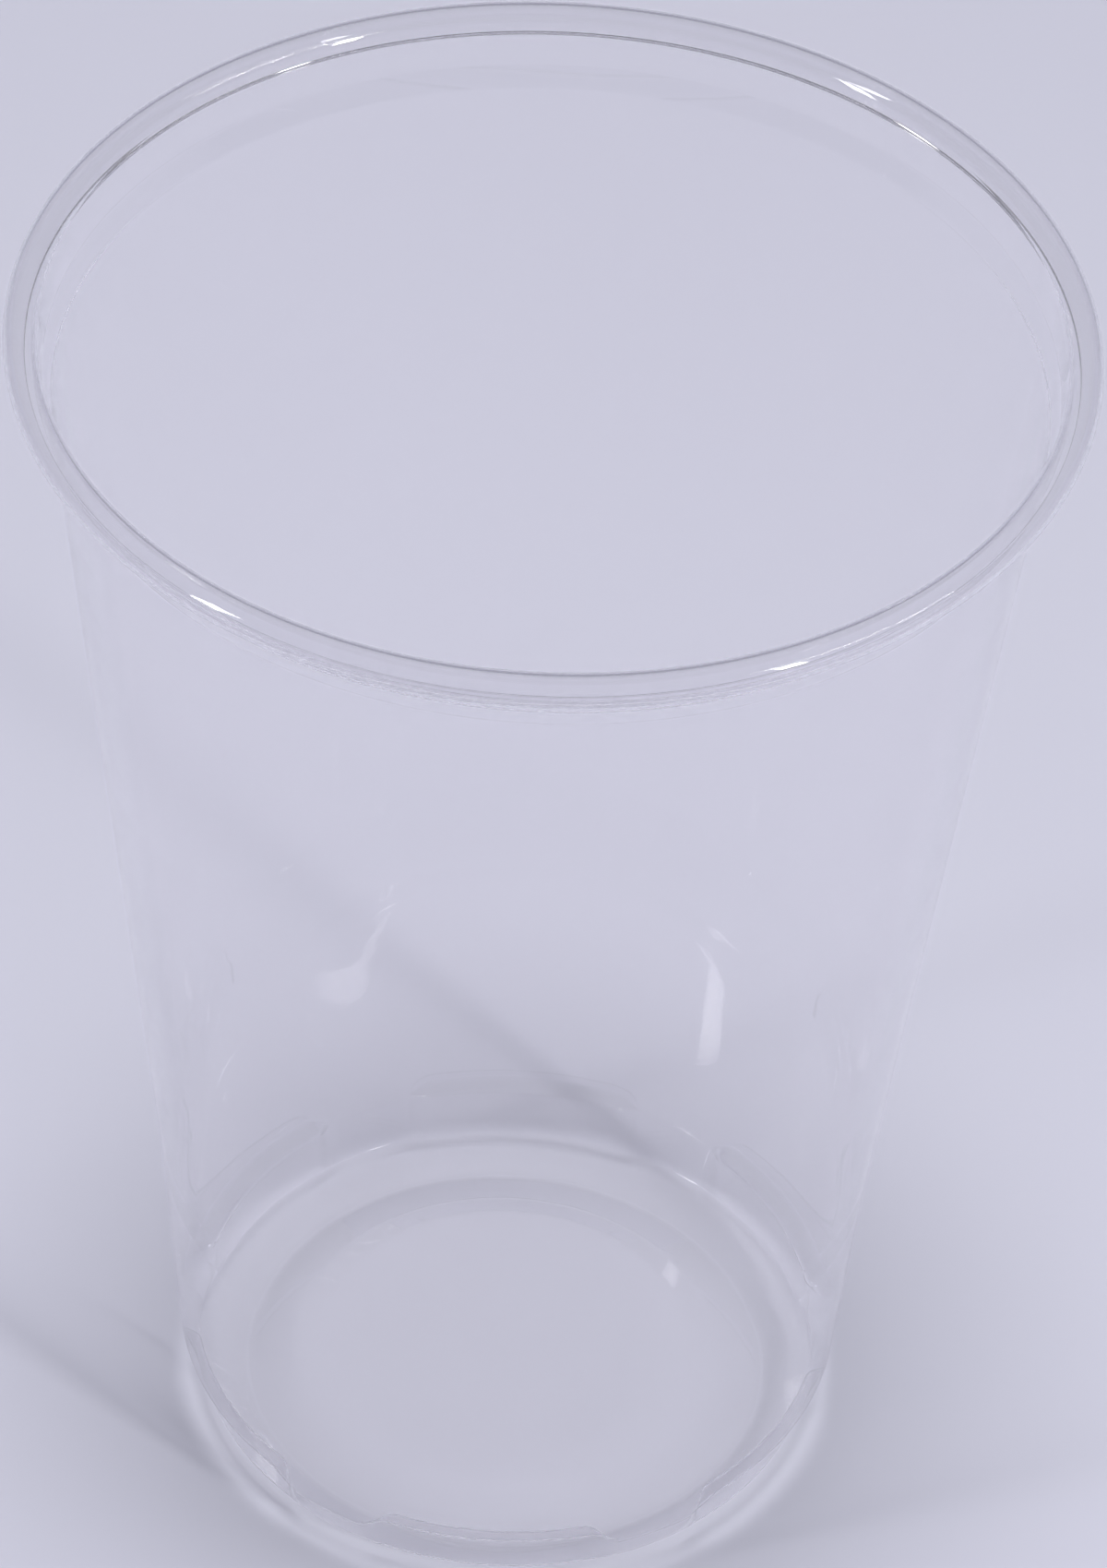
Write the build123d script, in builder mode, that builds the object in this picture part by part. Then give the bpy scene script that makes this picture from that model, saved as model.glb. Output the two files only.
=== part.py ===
from build123d import *
from math import cos, degrees, radians, sin, tan
import os

# Clear plastic cold cup, formed in one piece from a thin sheet: a rolled rim, a lid band
# below it, a tapered wall, a heel with six stacking lugs pressed in from outside, and a
# raised floor with a round panel. Millimetres, +Z up, origin at the centre of the foot ring.

# Overall sizes
rim_diameter = 92.0
height = 123.0
sheet = 0.3

# Rolled rim: the sheet leaves the band, goes over the top and ends under the bead
bead_diameter = 2.9
curl_turn = 285.0

# Lid band and shoulder, both measured down from the top of the rim
band_depth = 5.2
band_draft = 6.0
shoulder_depth = 7.3
shoulder_step = 0.78
shoulder_radius = 0.8

# Wall: the lower part leans out by lower_draft up to the knee, the upper part from there on
base_diameter = 59.4
knee_height = 30.0
lower_draft = 4.9
knee_blend = 160.0

# Heel, on the outer face: from the foot ring a shallow cone runs out to a crease all round,
# and between the lugs a steep cone goes on from the crease up to the wall
heel_height = 5.5
heel_blend = 3.0
crease_height = 1.5
crease_setback = 0.1
crease_radius = 0.5

# Foot ring and floor; foot_inset is measured from the wall's line at the table, heights are
# those of the underside, and panel_margin is the flat ring of floor outside the panel
foot_inset = 5.5
foot_width = 0.8
foot_slope = 40.0
floor_rise = 1.65
panel_margin = 2.6
panel_rise = 0.8
panel_step_run = 0.6
floor_radius = 0.6

# Stacking lugs: the heel of the next cup rests on their ledges
lug_count = 6
lug_gap = 18.5
ledge_height = 7.0
ledge_depth = 1.9
ledge_radius = 0.45
lug_end_radius = 0.9
lug_undercut = 0.25

# Rim: centre of the bead, and where the band runs into it
bead_radius = bead_diameter / 2
bead_x = rim_diameter / 2 - bead_radius
bead_z = height - bead_radius
curl_start = 180 - band_draft
lip_x = bead_x + (bead_radius - sheet) * cos(radians(curl_start))
lip_z = bead_z + (bead_radius - sheet) * sin(radians(curl_start))
mouth_x = bead_x + bead_radius * cos(radians(curl_start))
mouth_z = bead_z + bead_radius * sin(radians(curl_start))

# Wall corners on the outer face, from the rim down
band_z = height - band_depth
band_x = lip_x - (lip_z - band_z) * tan(radians(band_draft))
shoulder_z = height - shoulder_depth
shoulder_x = band_x - shoulder_step
base_x = base_diameter / 2
knee_x = base_x + knee_height * tan(radians(lower_draft))

# Foot ring: flat between the heel's cone and the slope up to the floor
heel_x = base_x + heel_height * tan(radians(lower_draft))
foot_end_x = base_x - foot_inset
foot_x = foot_end_x - foot_width
floor_x = foot_x - floor_rise / tan(radians(foot_slope))
panel_x = floor_x - panel_margin
panel_z = floor_rise + panel_rise

# Lugs: where their ledges end on the inner face, and how far round each one runs
wall_x = base_x + ledge_height * tan(radians(lower_draft)) - sheet
ledge_x = wall_x - ledge_depth
crease_x = ledge_x + sheet - crease_setback
lug_arc = 360 / lug_count - lug_gap
end_arc = degrees(sheet / ledge_x)

# Outer face of the sheet in section, from the middle of the floor up to the rim
with BuildLine() as outer_face:
    FilletPolyline(
        (0, panel_z),
        (panel_x - panel_step_run / 2, panel_z),
        (panel_x + panel_step_run / 2, floor_rise),
        (floor_x, floor_rise),
        (foot_x, 0),
        (foot_end_x, 0),
        (crease_x, crease_height),
        (heel_x, heel_height),
        (knee_x, knee_height),
        (shoulder_x, shoulder_z),
        (band_x, band_z),
        (lip_x, lip_z),
        radius=[
            min(floor_radius, panel_step_run / 2),
            min(floor_radius, panel_step_run / 2),
            floor_radius,
            min(floor_radius, foot_width / 2),
            floor_radius,
            crease_radius,
            heel_blend,
            knee_blend,
            shoulder_radius,
            shoulder_radius,
        ],
    )

# Inner face: the same line, one sheet further in
with BuildLine() as inner_face:
    offset(outer_face.line, amount=sheet, side=Side.LEFT, closed=False)

# A lug's dent in section, as the outer face has it; it reaches out past the wall
with BuildSketch(Plane.XZ) as dent_section:
    with BuildLine():
        Polyline(
            (ledge_x + sheet, ledge_height - sheet),
            (ledge_x + sheet + lug_undercut, -ledge_height),
            (base_x + ledge_height, -ledge_height),
            (base_x + ledge_height, ledge_height - sheet),
            close=True,
        )
    make_face()
    inner_corner = dent_section.vertices().group_by(Axis.X)[0]
    fillet(inner_corner, radius=ledge_radius)


def end_edges(sector):
    """The two edges of a dent's ends that stand nearest the cup's axis."""
    lines = sector.edges().filter_by(GeomType.LINE)
    return lines.sort_by(lambda edge: Vector(edge.center().X, edge.center().Y).length)[:2]


with BuildPart() as dent:
    add(dent_section.sketch)
    revolve(axis=Axis.Z, revolution_arc=lug_arc)
    fillet(end_edges(dent), radius=lug_end_radius)

# The same dent seen from inside, larger by the sheet on every face
with BuildPart() as lug:
    with BuildSketch(Plane.XZ):
        add(dent_section.sketch_local)
        offset(amount=sheet)
    revolve(axis=Axis.Z, revolution_arc=lug_arc + 2 * end_arc)
    fillet(end_edges(lug), radius=lug_end_radius + sheet)

# Room inside the cup, with the lugs standing into it
with BuildPart() as cavity:
    with BuildSketch(Plane.XZ):
        with BuildLine():
            add(inner_face.line)
            Polyline(
                (mouth_x, mouth_z),
                (0, mouth_z),
                (0, panel_z + sheet),
            )
        make_face()
    revolve(axis=Axis.Z)
    with PolarLocations(0, lug_count, start_angle=lug_gap / 2 - end_arc):
        add(lug.part, mode=Mode.SUBTRACT)

# The cup: outer form with its dents, less the room inside, and the curl of the rim
with BuildPart() as cup:
    with BuildSketch(Plane.XZ):
        with BuildLine():
            add(outer_face.line)
            Polyline(
                (lip_x, lip_z),
                (mouth_x, mouth_z),
                (0, mouth_z),
                (0, panel_z),
            )
        make_face()
    revolve(axis=Axis.Z)
    with PolarLocations(0, lug_count, start_angle=lug_gap / 2):
        add(dent.part, mode=Mode.SUBTRACT)
    add(cavity.part, mode=Mode.SUBTRACT)
    with BuildSketch(Plane.XZ):
        with BuildLine() as curl:
            CenterArc((bead_x, bead_z), bead_radius - sheet / 2, curl_start, -curl_turn)
        trace(curl.line, line_width=sheet)
    revolve(axis=Axis.Z)
cup.part.label = "cup"

os.makedirs("parts", exist_ok=True)
export_step(cup.part, "parts/cup.step")
print("solids", len(cup.part.solids()), "volume mm3", round(cup.part.volume, 1))
print("size", cup.part.bounding_box().size)
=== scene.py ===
from math import atan2, cos, pi, radians, sin, tan

import bmesh
import bpy
from bpy.props import (
    FloatProperty,
    FloatVectorProperty,
    IntProperty,
    PointerProperty,
)
from mathutils import Matrix, Vector


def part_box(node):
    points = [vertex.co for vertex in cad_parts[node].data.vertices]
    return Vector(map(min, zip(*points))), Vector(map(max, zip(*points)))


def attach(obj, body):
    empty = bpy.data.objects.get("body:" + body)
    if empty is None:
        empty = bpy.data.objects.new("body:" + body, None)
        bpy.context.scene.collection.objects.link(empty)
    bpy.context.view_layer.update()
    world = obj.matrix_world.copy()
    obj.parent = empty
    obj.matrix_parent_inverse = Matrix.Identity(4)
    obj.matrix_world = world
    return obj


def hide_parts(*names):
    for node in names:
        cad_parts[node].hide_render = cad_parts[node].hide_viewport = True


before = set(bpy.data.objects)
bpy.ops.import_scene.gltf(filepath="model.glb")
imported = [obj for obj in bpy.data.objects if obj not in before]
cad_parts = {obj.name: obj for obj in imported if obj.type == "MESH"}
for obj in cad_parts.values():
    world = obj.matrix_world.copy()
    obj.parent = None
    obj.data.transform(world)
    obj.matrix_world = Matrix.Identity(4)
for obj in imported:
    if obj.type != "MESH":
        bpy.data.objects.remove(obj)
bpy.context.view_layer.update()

bl_info = {
    "name": "Clear Plastic Cup",
    "version": (1, 0, 0),
    "blender": (4, 5, 0),
    "location": "3D View > Sidebar > Cup",
    "description": "A thin clear plastic cup with a rolled rim and stacking lugs, on a plain stage",
    "category": "Object",
}

CUP_LOW, CUP_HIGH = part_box("cup")

# Points round the cup and along its curl
CURL_STEPS = 36
GAP_STEPS = 6
RAMP_STEPS = 8
LUG_STEPS = 22
# The share of a lug's ramp that lies in the gap beside it
RAMP_IN_GAP = 0.4
# Edges that turn more than this are shaded as sharp
SHARP_ANGLE = radians(40)
# Light that has met this many faces goes straight on
TRAPPED_DEPTH = 9.0
# Bounces that light may take, and clear faces that it may go straight through
MOST_BOUNCES = 14
MOST_STRAIGHT = 24
# Reach of the floor, and the distance of the lamps at its side, in metres
FLOOR_REACH = 2.6
LAMP_DISTANCE = 1.2


def length(name, description, millimetres):
    """A size in metres, written in millimetres as on a drawing."""
    return FloatProperty(
        name=name,
        description=description,
        default=millimetres / 1000,
        min=0.0,
        precision=5,
        unit="LENGTH",
        subtype="DISTANCE",
    )


def angle(name, description, degrees):
    """An angle, written in degrees."""
    return FloatProperty(
        name=name,
        description=description,
        default=radians(degrees),
        unit="ROTATION",
        subtype="ANGLE",
    )


def share(name, description, default, most=1.0):
    """A plain number from 0 up to most."""
    return FloatProperty(
        name=name, description=description, default=default, min=0.0, max=most, precision=4
    )


def colour(name, description, default):
    """A colour in linear light."""
    return FloatVectorProperty(
        name=name, description=description, default=default, min=0.0, max=1.0, subtype="COLOR"
    )


class CupSizes(bpy.types.PropertyGroup):
    """Sizes of the formed sheet."""

    rim_diameter: length(
        "Rim diameter", "Across the outside of the rolled rim", 1000 * (CUP_HIGH[0] - CUP_LOW[0])
    )
    height: length("Height", "From the foot to the top of the rim", 1000 * CUP_HIGH[2])
    sheet: length("Sheet", "Thickness of the plastic", 0.3)
    heel_share: share("Heel share", "Thickness of the heel and floor as a share of the wall's", 0.3)
    bead_diameter: length("Bead diameter", "Across the curl of the rim", 2.9)
    curl_turn: angle("Curl turn", "How far the rim is rolled", 285)
    band_depth: length("Band depth", "From the top of the rim to the band's foot", 5.2)
    band_draft: angle("Band draft", "Lean of the lid band", 6)
    shoulder_depth: length("Shoulder depth", "From the top of the rim to the shoulder's foot", 7.3)
    shoulder_step: length("Shoulder step", "How far the band stands out past the wall", 0.78)
    shoulder_radius: length("Shoulder radius", "Rounding above and below the shoulder", 0.5)
    base_diameter: length("Base diameter", "Of the wall where its line meets the table", 59.4)
    knee_height: length("Knee height", "Where the wall starts to lean out further", 30)
    lower_draft: angle("Lower draft", "Lean of the wall below the knee", 4.9)
    knee_blend: length("Knee blend", "Radius of the knee", 160)
    heel_height: length("Heel height", "Where the wall turns in towards the crease", 5.5)
    heel_blend: length("Heel blend", "Rounding from the wall into the heel", 3)
    crease_height: length("Crease height", "Of the crease round the foot", 1.5)
    crease_setback: length("Crease setback", "How far the crease lies inside the lugs' faces", 0.1)
    crease_radius: length("Crease radius", "Rounding of the crease", 0.5)
    foot_inset: length("Foot inset", "From the wall's line at the table in to the foot ring", 5.5)
    foot_width: length("Foot width", "Flat ring that the cup stands on", 0.8)
    foot_slope: angle("Foot slope", "Rise from the foot ring to the floor", 15)
    floor_rise: length("Floor rise", "Underside of the floor above the table", 0.95)
    panel_margin: length("Panel margin", "Floor between the panel's step and the foot's slope", 1.4)
    panel_rise: length("Panel rise", "Height of the panel above the floor", 0.6)
    panel_step_run: length("Panel step run", "Width of the panel's step", 2.4)
    panel_radius: length("Panel radius", "Rounding above and below the panel's step", 3)
    floor_radius: length("Floor radius", "Rounding from the floor into the foot's slope", 1.5)
    foot_radius: length("Foot radius", "Rounding on both sides of the ring", 1.7)
    lug_count: IntProperty(
        name="Lugs", description="Stacking lugs round the heel", default=6, min=2
    )
    lug_gap: angle("Lug gap", "Plain heel between two lugs", 18.5)
    ledge_height: length("Ledge height", "Top of the lugs' ledges inside the cup", 7)
    ledge_depth: length("Ledge depth", "How far a ledge stands in from the wall", 1.9)
    ledge_radius: length("Ledge radius", "Rounding of a ledge's edge and its root", 0.6)
    lug_ramp: length("Lug ramp", "Width over which a lug's end rises from the heel", 2.8)


class CupFinish(bpy.types.PropertyGroup):
    """Look of the clear plastic."""

    tint: colour("Tint", "What one sheet lets through", (0.984, 0.981, 0.988))
    ior: share("IOR", "Refraction of the plastic", 1.5, 2.5)
    roughness: share("Roughness", "Haze of the plastic", 0.0)
    scuffed: share("Scuffed roughness", "Haze where the plastic is lightly rubbed", 0.03)
    rubbed_scale: share("Rubbed scale", "Fineness of the rubbed patches", 45.0, 500.0)
    waviness: share("Waviness", "Height of the sheet's slow waves in millimetres", 0.012)
    wave_scale: share("Wave scale", "Fineness of the slow waves", 90.0, 500.0)
    shade: colour("Shade", "What one face lets through to the shadow", (0.998, 0.998, 1.0))
    shade_edge: share("Shade edge", "How late a tilted face starts to hold light back", 4.0, 10.0)


class StageSettings(bpy.types.PropertyGroup):
    """Floor, lamps and camera."""

    floor_colour: colour("Floor", "Colour of the floor and the wall round it", (0.66, 0.66, 0.755))
    fill: share("Fill", "Strength of the light from all round", 0.36, 5.0)
    fill_colour: colour("Fill colour", "Colour of the light from all round", (0.9, 0.9, 1.0))
    bars: share("Bars", "Power of the two bright bars on the right in watts", 2.8, 500.0)
    key: share("Key", "Power of the window on the right in watts", 0.55, 500.0)
    top: share("Top", "Power of the soft lamp overhead in watts", 22.0, 500.0)
    side: share("Side", "Power of the window on the left in watts", 2.2, 500.0)
    camera_place: FloatVectorProperty(
        name="Camera place",
        description="Where the camera stands",
        default=(0.011326, -0.54068, 0.55685),
        unit="LENGTH",
        subtype="TRANSLATION",
    )
    camera_tilt: angle("Camera tilt", "How far the camera looks down", 41.90)
    camera_turn: angle("Camera turn", "Turn of the camera about the upright, from +Y", 1.005)
    camera_roll: angle("Camera roll", "Lean of the camera about its own line of sight", 2.90)
    lens: FloatProperty(name="Lens", description="Focal length in millimetres", default=190.7)


# Section of the sheet --------------------------------------------------------------------


def section_corners(s, lug):
    """Corners of the sheet's outer face from the floor's middle to the lip, with roundings.

    The line goes through a lug or through the plain heel between two of them. The corners
    without a rounding beside the heel mark where the two lines part and where they meet.
    """
    bead = s.bead_diameter / 2
    centre = Vector((s.rim_diameter / 2 - bead, 0, s.height - bead))
    start = pi - s.band_draft
    lip = centre + (bead - s.sheet) * Vector((cos(start), 0, sin(start)))
    band_z = s.height - s.band_depth
    band_x = lip.x - (lip.z - band_z) * tan(s.band_draft)
    foot_end = s.base_diameter / 2 - s.foot_inset
    foot = foot_end - s.foot_width
    floor = foot - s.floor_rise / tan(s.foot_slope)
    panel = floor - s.panel_margin
    run = s.panel_step_run / 2
    panel_z = s.floor_rise + s.panel_rise

    def wall(z):
        return (s.base_diameter / 2 + z * tan(s.lower_draft), 0, z)

    ledge = s.ledge_height - s.sheet
    lug_x = lug_radius(s)
    crease = lug_x - s.crease_setback
    if lug:
        heel = [((lug_x, 0, ledge), s.ledge_radius, 7), (wall(ledge), s.ledge_radius, 6)]
    else:
        heel = [(wall(s.heel_height), s.heel_blend, 14)]
    corners = [
        ((0, 0, panel_z), 0, 0),
        ((panel - run, 0, panel_z), s.panel_radius, 5),
        ((panel + run, 0, s.floor_rise), s.panel_radius, 5),
        ((floor, 0, s.floor_rise), s.floor_radius, 7),
        ((foot, 0, 0), s.foot_radius, 6),
        ((foot_end, 0, 0), s.foot_radius, 5),
        (((foot_end + crease) / 2, 0, s.crease_height / 2), 0, 0),
        ((crease, 0, s.crease_height), s.crease_radius, 6),
        *heel,
        (wall(s.ledge_height + 2 * s.ledge_radius), 0, 0),
        (wall(s.knee_height), s.knee_blend, 8),
        ((band_x - s.shoulder_step, 0, s.height - s.shoulder_depth), s.shoulder_radius, 5),
        ((band_x, 0, band_z), s.shoulder_radius, 5),
        (tuple(lip), 0, 0),
    ]
    return corners, centre


def lug_radius(s):
    """How far a lug's outer face stands from the axis."""
    return s.base_diameter / 2 + s.ledge_height * tan(s.lower_draft) - s.ledge_depth


def draw_section(bm, corners):
    """Draw a line through the corners, round them and return its vertices from the lip down."""
    verts = [bm.verts.new(place) for place, _, _ in corners]
    for pair in zip(verts, verts[1:]):
        bm.edges.new(pair)
    for vert, (_, radius, steps) in zip(verts, corners):
        if radius:
            ways = [(edge.other_vert(vert).co - vert.co) for edge in vert.link_edges]
            turn = pi - ways[0].angle(ways[1])
            bmesh.ops.bevel(
                bm,
                geom=[vert],
                offset=radius * tan(turn / 2),
                offset_type="OFFSET",
                segments=steps,
                profile=0.5,
                affect="VERTICES",
                material=-1,
                clamp_overlap=False,
            )
    line, edge = [verts[-1]], verts[-1].link_edges[0]
    while edge:
        line.append(edge.other_vert(line[-1]))
        edge = next((e for e in line[-1].link_edges if e != edge), None)
    return line


def heel_rows(line, corners):
    """The part of a section's line between the marks beside the heel."""
    marks = [Vector(place) for place, radius, _ in corners[1:-1] if not radius]
    ends = [min(range(len(line)), key=lambda i: (line[i].co - mark).length) for mark in marks]
    return line[min(ends) : max(ends) + 1]


def radius_of(point):
    """How far a point stands from the cup's axis."""
    return Vector((point.x, point.y)).length


def ease(x):
    """From 0 to 1 with a soft start and end."""
    x = min(max(x, 0.0), 1.0)
    return x * x * (3 - 2 * x)


def let_go(bm, s, row, plain):
    """Let the sheet fall back from the lugs' section to the plain heel in the gaps."""
    ramp = s.lug_ramp / lug_radius(s)
    pitch = 2 * pi / s.lug_count
    for vert in bm.verts:
        if vert[row]:
            rest = plain[vert[row] - 1]
            turn = atan2(vert.co.y, vert.co.x)
            off = abs(turn - pitch * round(turn / pitch))
            fall = 1 - ease((off - s.lug_gap / 2) / ramp + RAMP_IN_GAP)
            vert.co.z += (rest.z - vert.co.z) * fall
            vert.co.xy *= 1 + (rest.x / radius_of(vert.co) - 1) * fall


def form_sheet(bm, s):
    """Turn the section into one gap and one lug, and set these round the axis."""
    corners, _ = section_corners(s, lug=False)
    draft = bmesh.new()
    plain = [v.co.copy() for v in heel_rows(draw_section(draft, corners), corners)]
    draft.free()
    corners, bead = section_corners(s, lug=True)
    row = bm.verts.layers.int.new("heel_row")
    line = draw_section(bm, corners)
    rows = heel_rows(line, corners)
    if len(rows) != len(plain):
        raise RuntimeError("the lug's section and the plain heel differ in their points")
    for number, vert in enumerate(rows, 1):
        vert[row] = number
    bmesh.ops.spin(
        bm, geom=[line[0]], cent=bead, axis=(0, 1, 0), angle=s.curl_turn, steps=CURL_STEPS
    )
    pitch, ramp = 2 * pi / s.lug_count, s.lug_ramp / lug_radius(s)
    gap = s.lug_gap / 2 - RAMP_IN_GAP * ramp
    geom = bm.verts[:] + bm.edges[:]
    for turn, steps in (
        (gap, GAP_STEPS),
        (ramp, RAMP_STEPS),
        (pitch - 2 * (gap + ramp), LUG_STEPS),
        (ramp, RAMP_STEPS),
        (gap, GAP_STEPS),
    ):
        geom = bmesh.ops.spin(bm, geom=geom, axis=(0, 0, 1), angle=turn, steps=steps)["geom_last"]
    bmesh.ops.remove_doubles(bm, verts=bm.verts, dist=1e-7)
    let_go(bm, s, row, plain)
    bm.verts.layers.int.remove(row)

    bmesh.ops.spin(
        bm,
        geom=bm.verts[:] + bm.edges[:] + bm.faces[:],
        axis=(0, 0, 1),
        angle=2 * pi - pitch,
        steps=s.lug_count - 1,
        use_duplicate=True,
    )
    bmesh.ops.remove_doubles(bm, verts=bm.verts, dist=1e-6)
    bmesh.ops.recalc_face_normals(bm, faces=bm.faces)
    floor = min(bm.faces, key=lambda f: radius_of(f.calc_center_median()))
    if floor.normal.z < 0:
        bmesh.ops.reverse_faces(bm, faces=bm.faces)
    for face in bm.faces:
        face.smooth = True
    for edge in bm.edges:
        edge.smooth = edge.calc_face_angle(0.0) < SHARP_ANGLE


# Materials -------------------------------------------------------------------------------


def node(tree, kind, **settings):
    """A new node with its input values by name."""
    made = tree.nodes.new(kind)
    for name, value in settings.items():
        made.inputs[name.replace("_", " ")].default_value = value
    return made


def ranged(tree, value, low, high, start, end):
    """A value turned from one range into another, with a soft start and end."""
    made = node(tree, "ShaderNodeMapRange", From_Min=low, From_Max=high, To_Min=start, To_Max=end)
    made.interpolation_type = "SMOOTHSTEP"
    tree.links.new(value, made.inputs["Value"])
    return made.outputs["Result"]


def joined(tree, operation, first, second):
    """Two values put together, where each is a number or another node's output."""
    made = node(tree, "ShaderNodeMath")
    made.operation = operation
    for slot, value in zip(made.inputs, (first, second)):
        if isinstance(value, float):
            slot.default_value = value
        else:
            tree.links.new(value, slot)
    return made.outputs["Value"]


def clear_plastic(f):
    """Clear glossy plastic: smooth, with slow waves from forming and a little rubbed haze."""
    mat = bpy.data.materials.new("clear_plastic_sheet")
    mat.use_nodes = True
    tree = mat.node_tree
    tree.nodes.clear()
    link = tree.links.new
    output = node(tree, "ShaderNodeOutputMaterial")
    sheet = node(
        tree,
        "ShaderNodeBsdfPrincipled",
        Base_Color=(*f.tint, 1),
        IOR=f.ior,
        Transmission_Weight=1.0,
    )
    place = node(tree, "ShaderNodeTexCoord")

    # Haze, where the noise is high
    rubbed = node(tree, "ShaderNodeTexNoise", Scale=f.rubbed_scale, Detail=4.0, Roughness=0.6)
    link(place.outputs["Object"], rubbed.inputs["Vector"])
    haze = ranged(tree, rubbed.outputs["Fac"], 0.62, 0.8, f.roughness, f.scuffed)
    link(haze, sheet.inputs["Roughness"])

    # Slow waves that run round the cup
    stretch = node(tree, "ShaderNodeMapping", Scale=(0.3, 0.3, 1.5))
    link(place.outputs["Object"], stretch.inputs["Vector"])
    waves = node(tree, "ShaderNodeTexNoise", Scale=f.wave_scale, Detail=2.0, Roughness=0.5)
    link(stretch.outputs["Vector"], waves.inputs["Vector"])
    bump = node(tree, "ShaderNodeBump", Strength=1.0, Distance=f.waviness / 1000)
    link(waves.outputs["Fac"], bump.inputs["Height"])
    link(bump.outputs["Normal"], sheet.inputs["Normal"])

    # Light for the floor goes straight through, less where it meets a face at a slant
    glance = node(tree, "ShaderNodeLayerWeight", Blend=0.5)
    slant = joined(tree, "POWER", glance.outputs["Facing"], f.shade_edge)
    kept = node(tree, "ShaderNodeMixRGB", Color1=(*f.shade, 1), Color2=(0, 0, 0, 1))
    link(slant, kept.inputs["Fac"])
    straight = node(tree, "ShaderNodeBsdfTransparent")
    link(kept.outputs["Color"], straight.inputs["Color"])
    path = node(tree, "ShaderNodeLightPath")
    light = joined(
        tree, "MAXIMUM", path.outputs["Is Shadow Ray"], path.outputs["Is Diffuse Ray"]
    )
    trapped = joined(tree, "GREATER_THAN", path.outputs["Ray Depth"], TRAPPED_DEPTH)
    mix = node(tree, "ShaderNodeMixShader")
    link(joined(tree, "MAXIMUM", light, trapped), mix.inputs[0])
    link(sheet.outputs["BSDF"], mix.inputs[1])
    link(straight.outputs["BSDF"], mix.inputs[2])
    link(mix.outputs[0], output.inputs["Surface"])
    return mat


def matt(name, rgb):
    """A plain matt surface."""
    mat = bpy.data.materials.new(name)
    mat.use_nodes = True
    shader = mat.node_tree.nodes["Principled BSDF"]
    shader.inputs["Base Color"].default_value = (*rgb, 1)
    shader.inputs["Roughness"].default_value = 0.9
    shader.inputs["Specular IOR Level"].default_value = 0.0
    return mat


# Stage -----------------------------------------------------------------------------------


def form_floor(bm):
    """A round floor that curves up into a low wall, in one sheet."""
    rim = [bm.verts.new(p) for p in ((0, 0, 0), (1.2, 0, 0), (2.1, 0, 0), (FLOOR_REACH, 0, 1))]
    for pair in zip(rim, rim[1:]):
        bm.edges.new(pair)
    bmesh.ops.bevel(
        bm,
        geom=[rim[2]],
        offset=0.5,
        offset_type="OFFSET",
        segments=16,
        profile=0.5,
        affect="VERTICES",
        material=-1,
    )
    bmesh.ops.spin(
        bm, geom=bm.verts[:] + bm.edges[:], axis=(0, 0, 1), angle=2 * pi, steps=128, use_merge=True
    )
    bmesh.ops.remove_doubles(bm, verts=bm.verts, dist=1e-6)
    bmesh.ops.recalc_face_normals(bm, faces=bm.faces)
    for face in bm.faces:
        face.smooth = True


def around(azimuth, elevation):
    """A place at the lamps' distance, by its angles in degrees."""
    turn, rise = radians(azimuth), radians(elevation)
    return LAMP_DISTANCE * Vector((cos(rise) * cos(turn), cos(rise) * sin(turn), sin(rise)))


def add_lamp(scene, name, place, aim, size, power, mirrored=True, spread=180):
    """An area lamp that the camera doesn't see, mirrored in the plastic or not."""
    data = bpy.data.lights.new(name, "AREA")
    data.shape = "RECTANGLE"
    data.size, data.size_y = size
    data.energy = power
    data.spread = radians(spread)
    made = bpy.data.objects.new(name, data)
    made.location = place
    made.rotation_euler = (Vector(aim) - Vector(place)).to_track_quat("-Z", "Y").to_euler()
    made.visible_camera = False
    made.visible_glossy = made.visible_transmission = mirrored
    scene.collection.objects.link(made)


def add_lamps(scene, g):
    """Two thin bars and a window on the right, a tall window on the left, one lamp overhead."""
    for rise in (34.5, 38.5):
        add_lamp(scene, "window_bar", around(-24, rise), (0, 0, 0.03), (0.8, 0.008), g.bars / 2)
    add_lamp(
        scene, "window_right", around(-41, 24), (0, 0, 0.1), (0.1, 0.24), g.key, spread=60
    )
    add_lamp(scene, "window_left", around(-154, 30), (0, 0, 0.06), (0.12, 0.4), g.side)
    add_lamp(scene, "overhead", (0, 0, 2.5), (0, 0, 0), (0.77, 0.77), g.top, mirrored=False)


def set_world(scene, g):
    """Light from all round: strongest above and from front and back, weakest at the sides."""
    world = bpy.data.worlds.new("studio")
    world.use_nodes = True
    tree = world.node_tree
    way = node(tree, "ShaderNodeTexCoord")
    weight = node(tree, "ShaderNodeVectorMath")
    weight.operation = "MULTIPLY"
    weight.inputs[1].default_value = (0.0, 0.7, 0.75)
    tree.links.new(way.outputs["Generated"], weight.inputs[0])
    square = node(tree, "ShaderNodeVectorMath")
    square.operation = "DOT_PRODUCT"
    for slot in square.inputs[:2]:
        tree.links.new(weight.outputs["Vector"], slot)
    light = node(tree, "ShaderNodeMapRange", To_Min=0.5 * g.fill, To_Max=1.5 * g.fill)
    tree.links.new(square.outputs["Value"], light.inputs["Value"])
    back = tree.nodes["Background"]
    back.inputs["Color"].default_value = (*g.fill_colour, 1)
    tree.links.new(light.outputs["Result"], back.inputs["Strength"])
    scene.world = world


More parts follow.
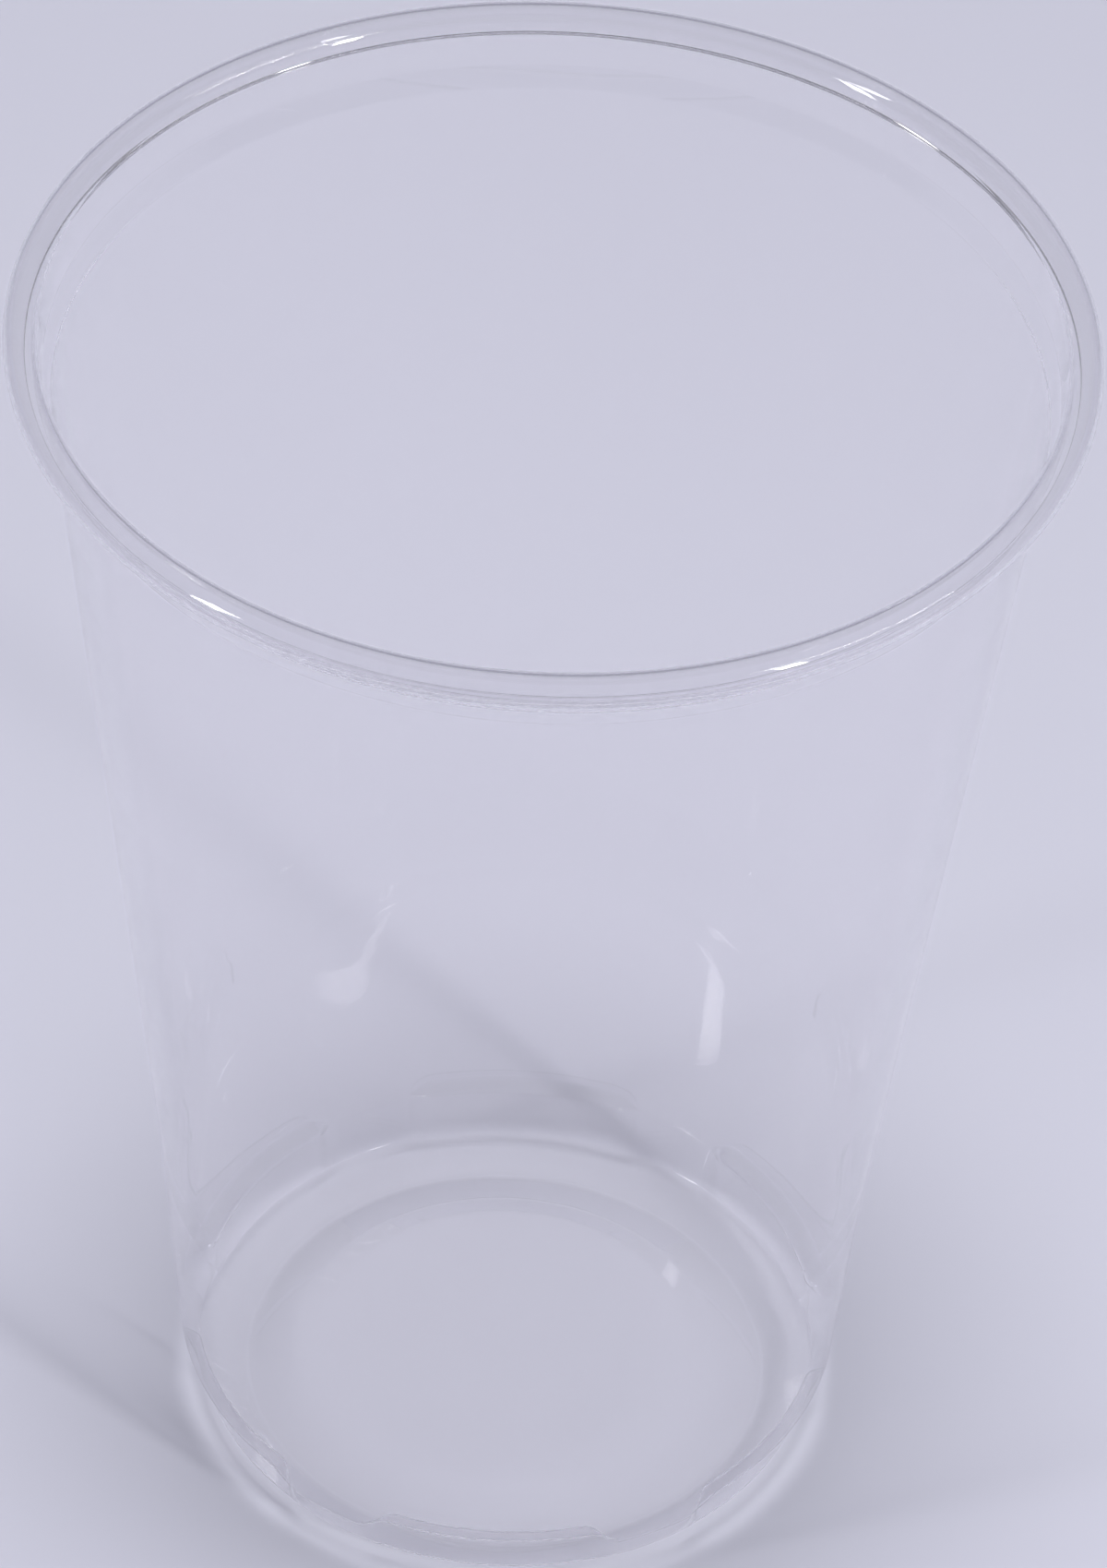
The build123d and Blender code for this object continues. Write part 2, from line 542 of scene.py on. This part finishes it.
def set_camera(scene, g):
    """The camera of the photograph."""
    data = bpy.data.cameras.new("camera")
    data.lens = g.lens
    data.sensor_width = 36
    data.clip_start = 0.01
    camera = bpy.data.objects.new("camera", data)
    camera.matrix_world = (
        Matrix.Translation(g.camera_place)
        @ Matrix.Rotation(g.camera_turn, 4, "Z")
        @ Matrix.Rotation(pi / 2 - g.camera_tilt, 4, "X")
        @ Matrix.Rotation(g.camera_roll, 4, "Z")
    )
    scene.collection.objects.link(camera)
    scene.camera = camera


# Operators -------------------------------------------------------------------------------


def add_object(context, name, bm, mat):
    """Put a finished mesh in the scene as an object of its own."""
    mesh = bpy.data.meshes.new(name)
    bm.to_mesh(mesh)
    bm.free()
    mesh.materials.append(mat)
    made = bpy.data.objects.new(name, mesh)
    context.scene.collection.objects.link(made)
    return made


class CUP_OT_sheet(bpy.types.Operator):
    """Form the cup from its sheet: section, lugs, full turn and thickness"""

    bl_idname = "cup.sheet"
    bl_label = "Form the cup"

    def execute(self, context):
        s = context.scene.cup_sizes
        bm = bmesh.new()
        form_sheet(bm, s)
        if not bm.faces:
            raise RuntimeError("the cup's sheet has no faces")
        cup = add_object(context, "cup_sheet", bm, clear_plastic(context.scene.cup_finish))
        formed = cup.vertex_groups.new(name="sheet")
        for vert in cup.data.vertices:
            thin = 1 - ease(vert.co.z / s.knee_height)
            formed.add([vert.index], 1 - (1 - s.heel_share) * thin, "REPLACE")
        wall = cup.modifiers.new("sheet", "SOLIDIFY")
        wall.vertex_group = "sheet"
        wall.thickness = s.sheet
        wall.offset = 1
        wall.use_even_offset = True
        wall.use_quality_normals = True
        normals = cup.modifiers.new("normals", "WEIGHTED_NORMAL")
        normals.keep_sharp = True
        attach(cup, "root")
        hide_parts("cup")
        return {"FINISHED"}


class CUP_OT_stage(bpy.types.Operator):
    """Set the floor, the lamps, the world and the camera"""

    bl_idname = "cup.stage"
    bl_label = "Set the stage"

    def execute(self, context):
        scene = context.scene
        g = scene.cup_stage
        bm = bmesh.new()
        form_floor(bm)
        if not bm.faces:
            raise RuntimeError("the floor has no faces")
        floor = add_object(context, "studio_floor", bm, matt("studio_paper", g.floor_colour))
        add_lamps(scene, g)
        set_world(scene, g)
        set_camera(scene, g)
        scene.view_settings.view_transform = "Standard"
        scene.cycles.max_bounces = MOST_BOUNCES
        scene.cycles.transmission_bounces = scene.cycles.glossy_bounces = MOST_BOUNCES
        scene.cycles.transparent_max_bounces = MOST_STRAIGHT
        return {"FINISHED"}


class CUP_PT_panel(bpy.types.Panel):
    """Sizes, finish and stage of the cup"""

    bl_idname = "CUP_PT_panel"
    bl_label = "Clear plastic cup"
    bl_space_type = "VIEW_3D"
    bl_region_type = "UI"
    bl_category = "Cup"

    def draw(self, context):
        for title, group, action in (
            ("Sizes", context.scene.cup_sizes, "cup.sheet"),
            ("Finish", context.scene.cup_finish, None),
            ("Stage", context.scene.cup_stage, "cup.stage"),
        ):
            box = self.layout.box()
            box.label(text=title)
            for name in group.__annotations__:
                box.prop(group, name)
            if action:
                box.operator(action)


CLASSES = (CupSizes, CupFinish, StageSettings, CUP_OT_sheet, CUP_OT_stage, CUP_PT_panel)


def register():
    for cls in CLASSES:
        bpy.utils.register_class(cls)
    bpy.types.Scene.cup_sizes = PointerProperty(type=CupSizes)
    bpy.types.Scene.cup_finish = PointerProperty(type=CupFinish)
    bpy.types.Scene.cup_stage = PointerProperty(type=StageSettings)


def unregister():
    del bpy.types.Scene.cup_stage, bpy.types.Scene.cup_finish, bpy.types.Scene.cup_sizes
    for cls in reversed(CLASSES):
        bpy.utils.unregister_class(cls)


def main():
    register()
    bpy.ops.cup.sheet()
    bpy.ops.cup.stage()


if __name__ == "__main__":
    main()
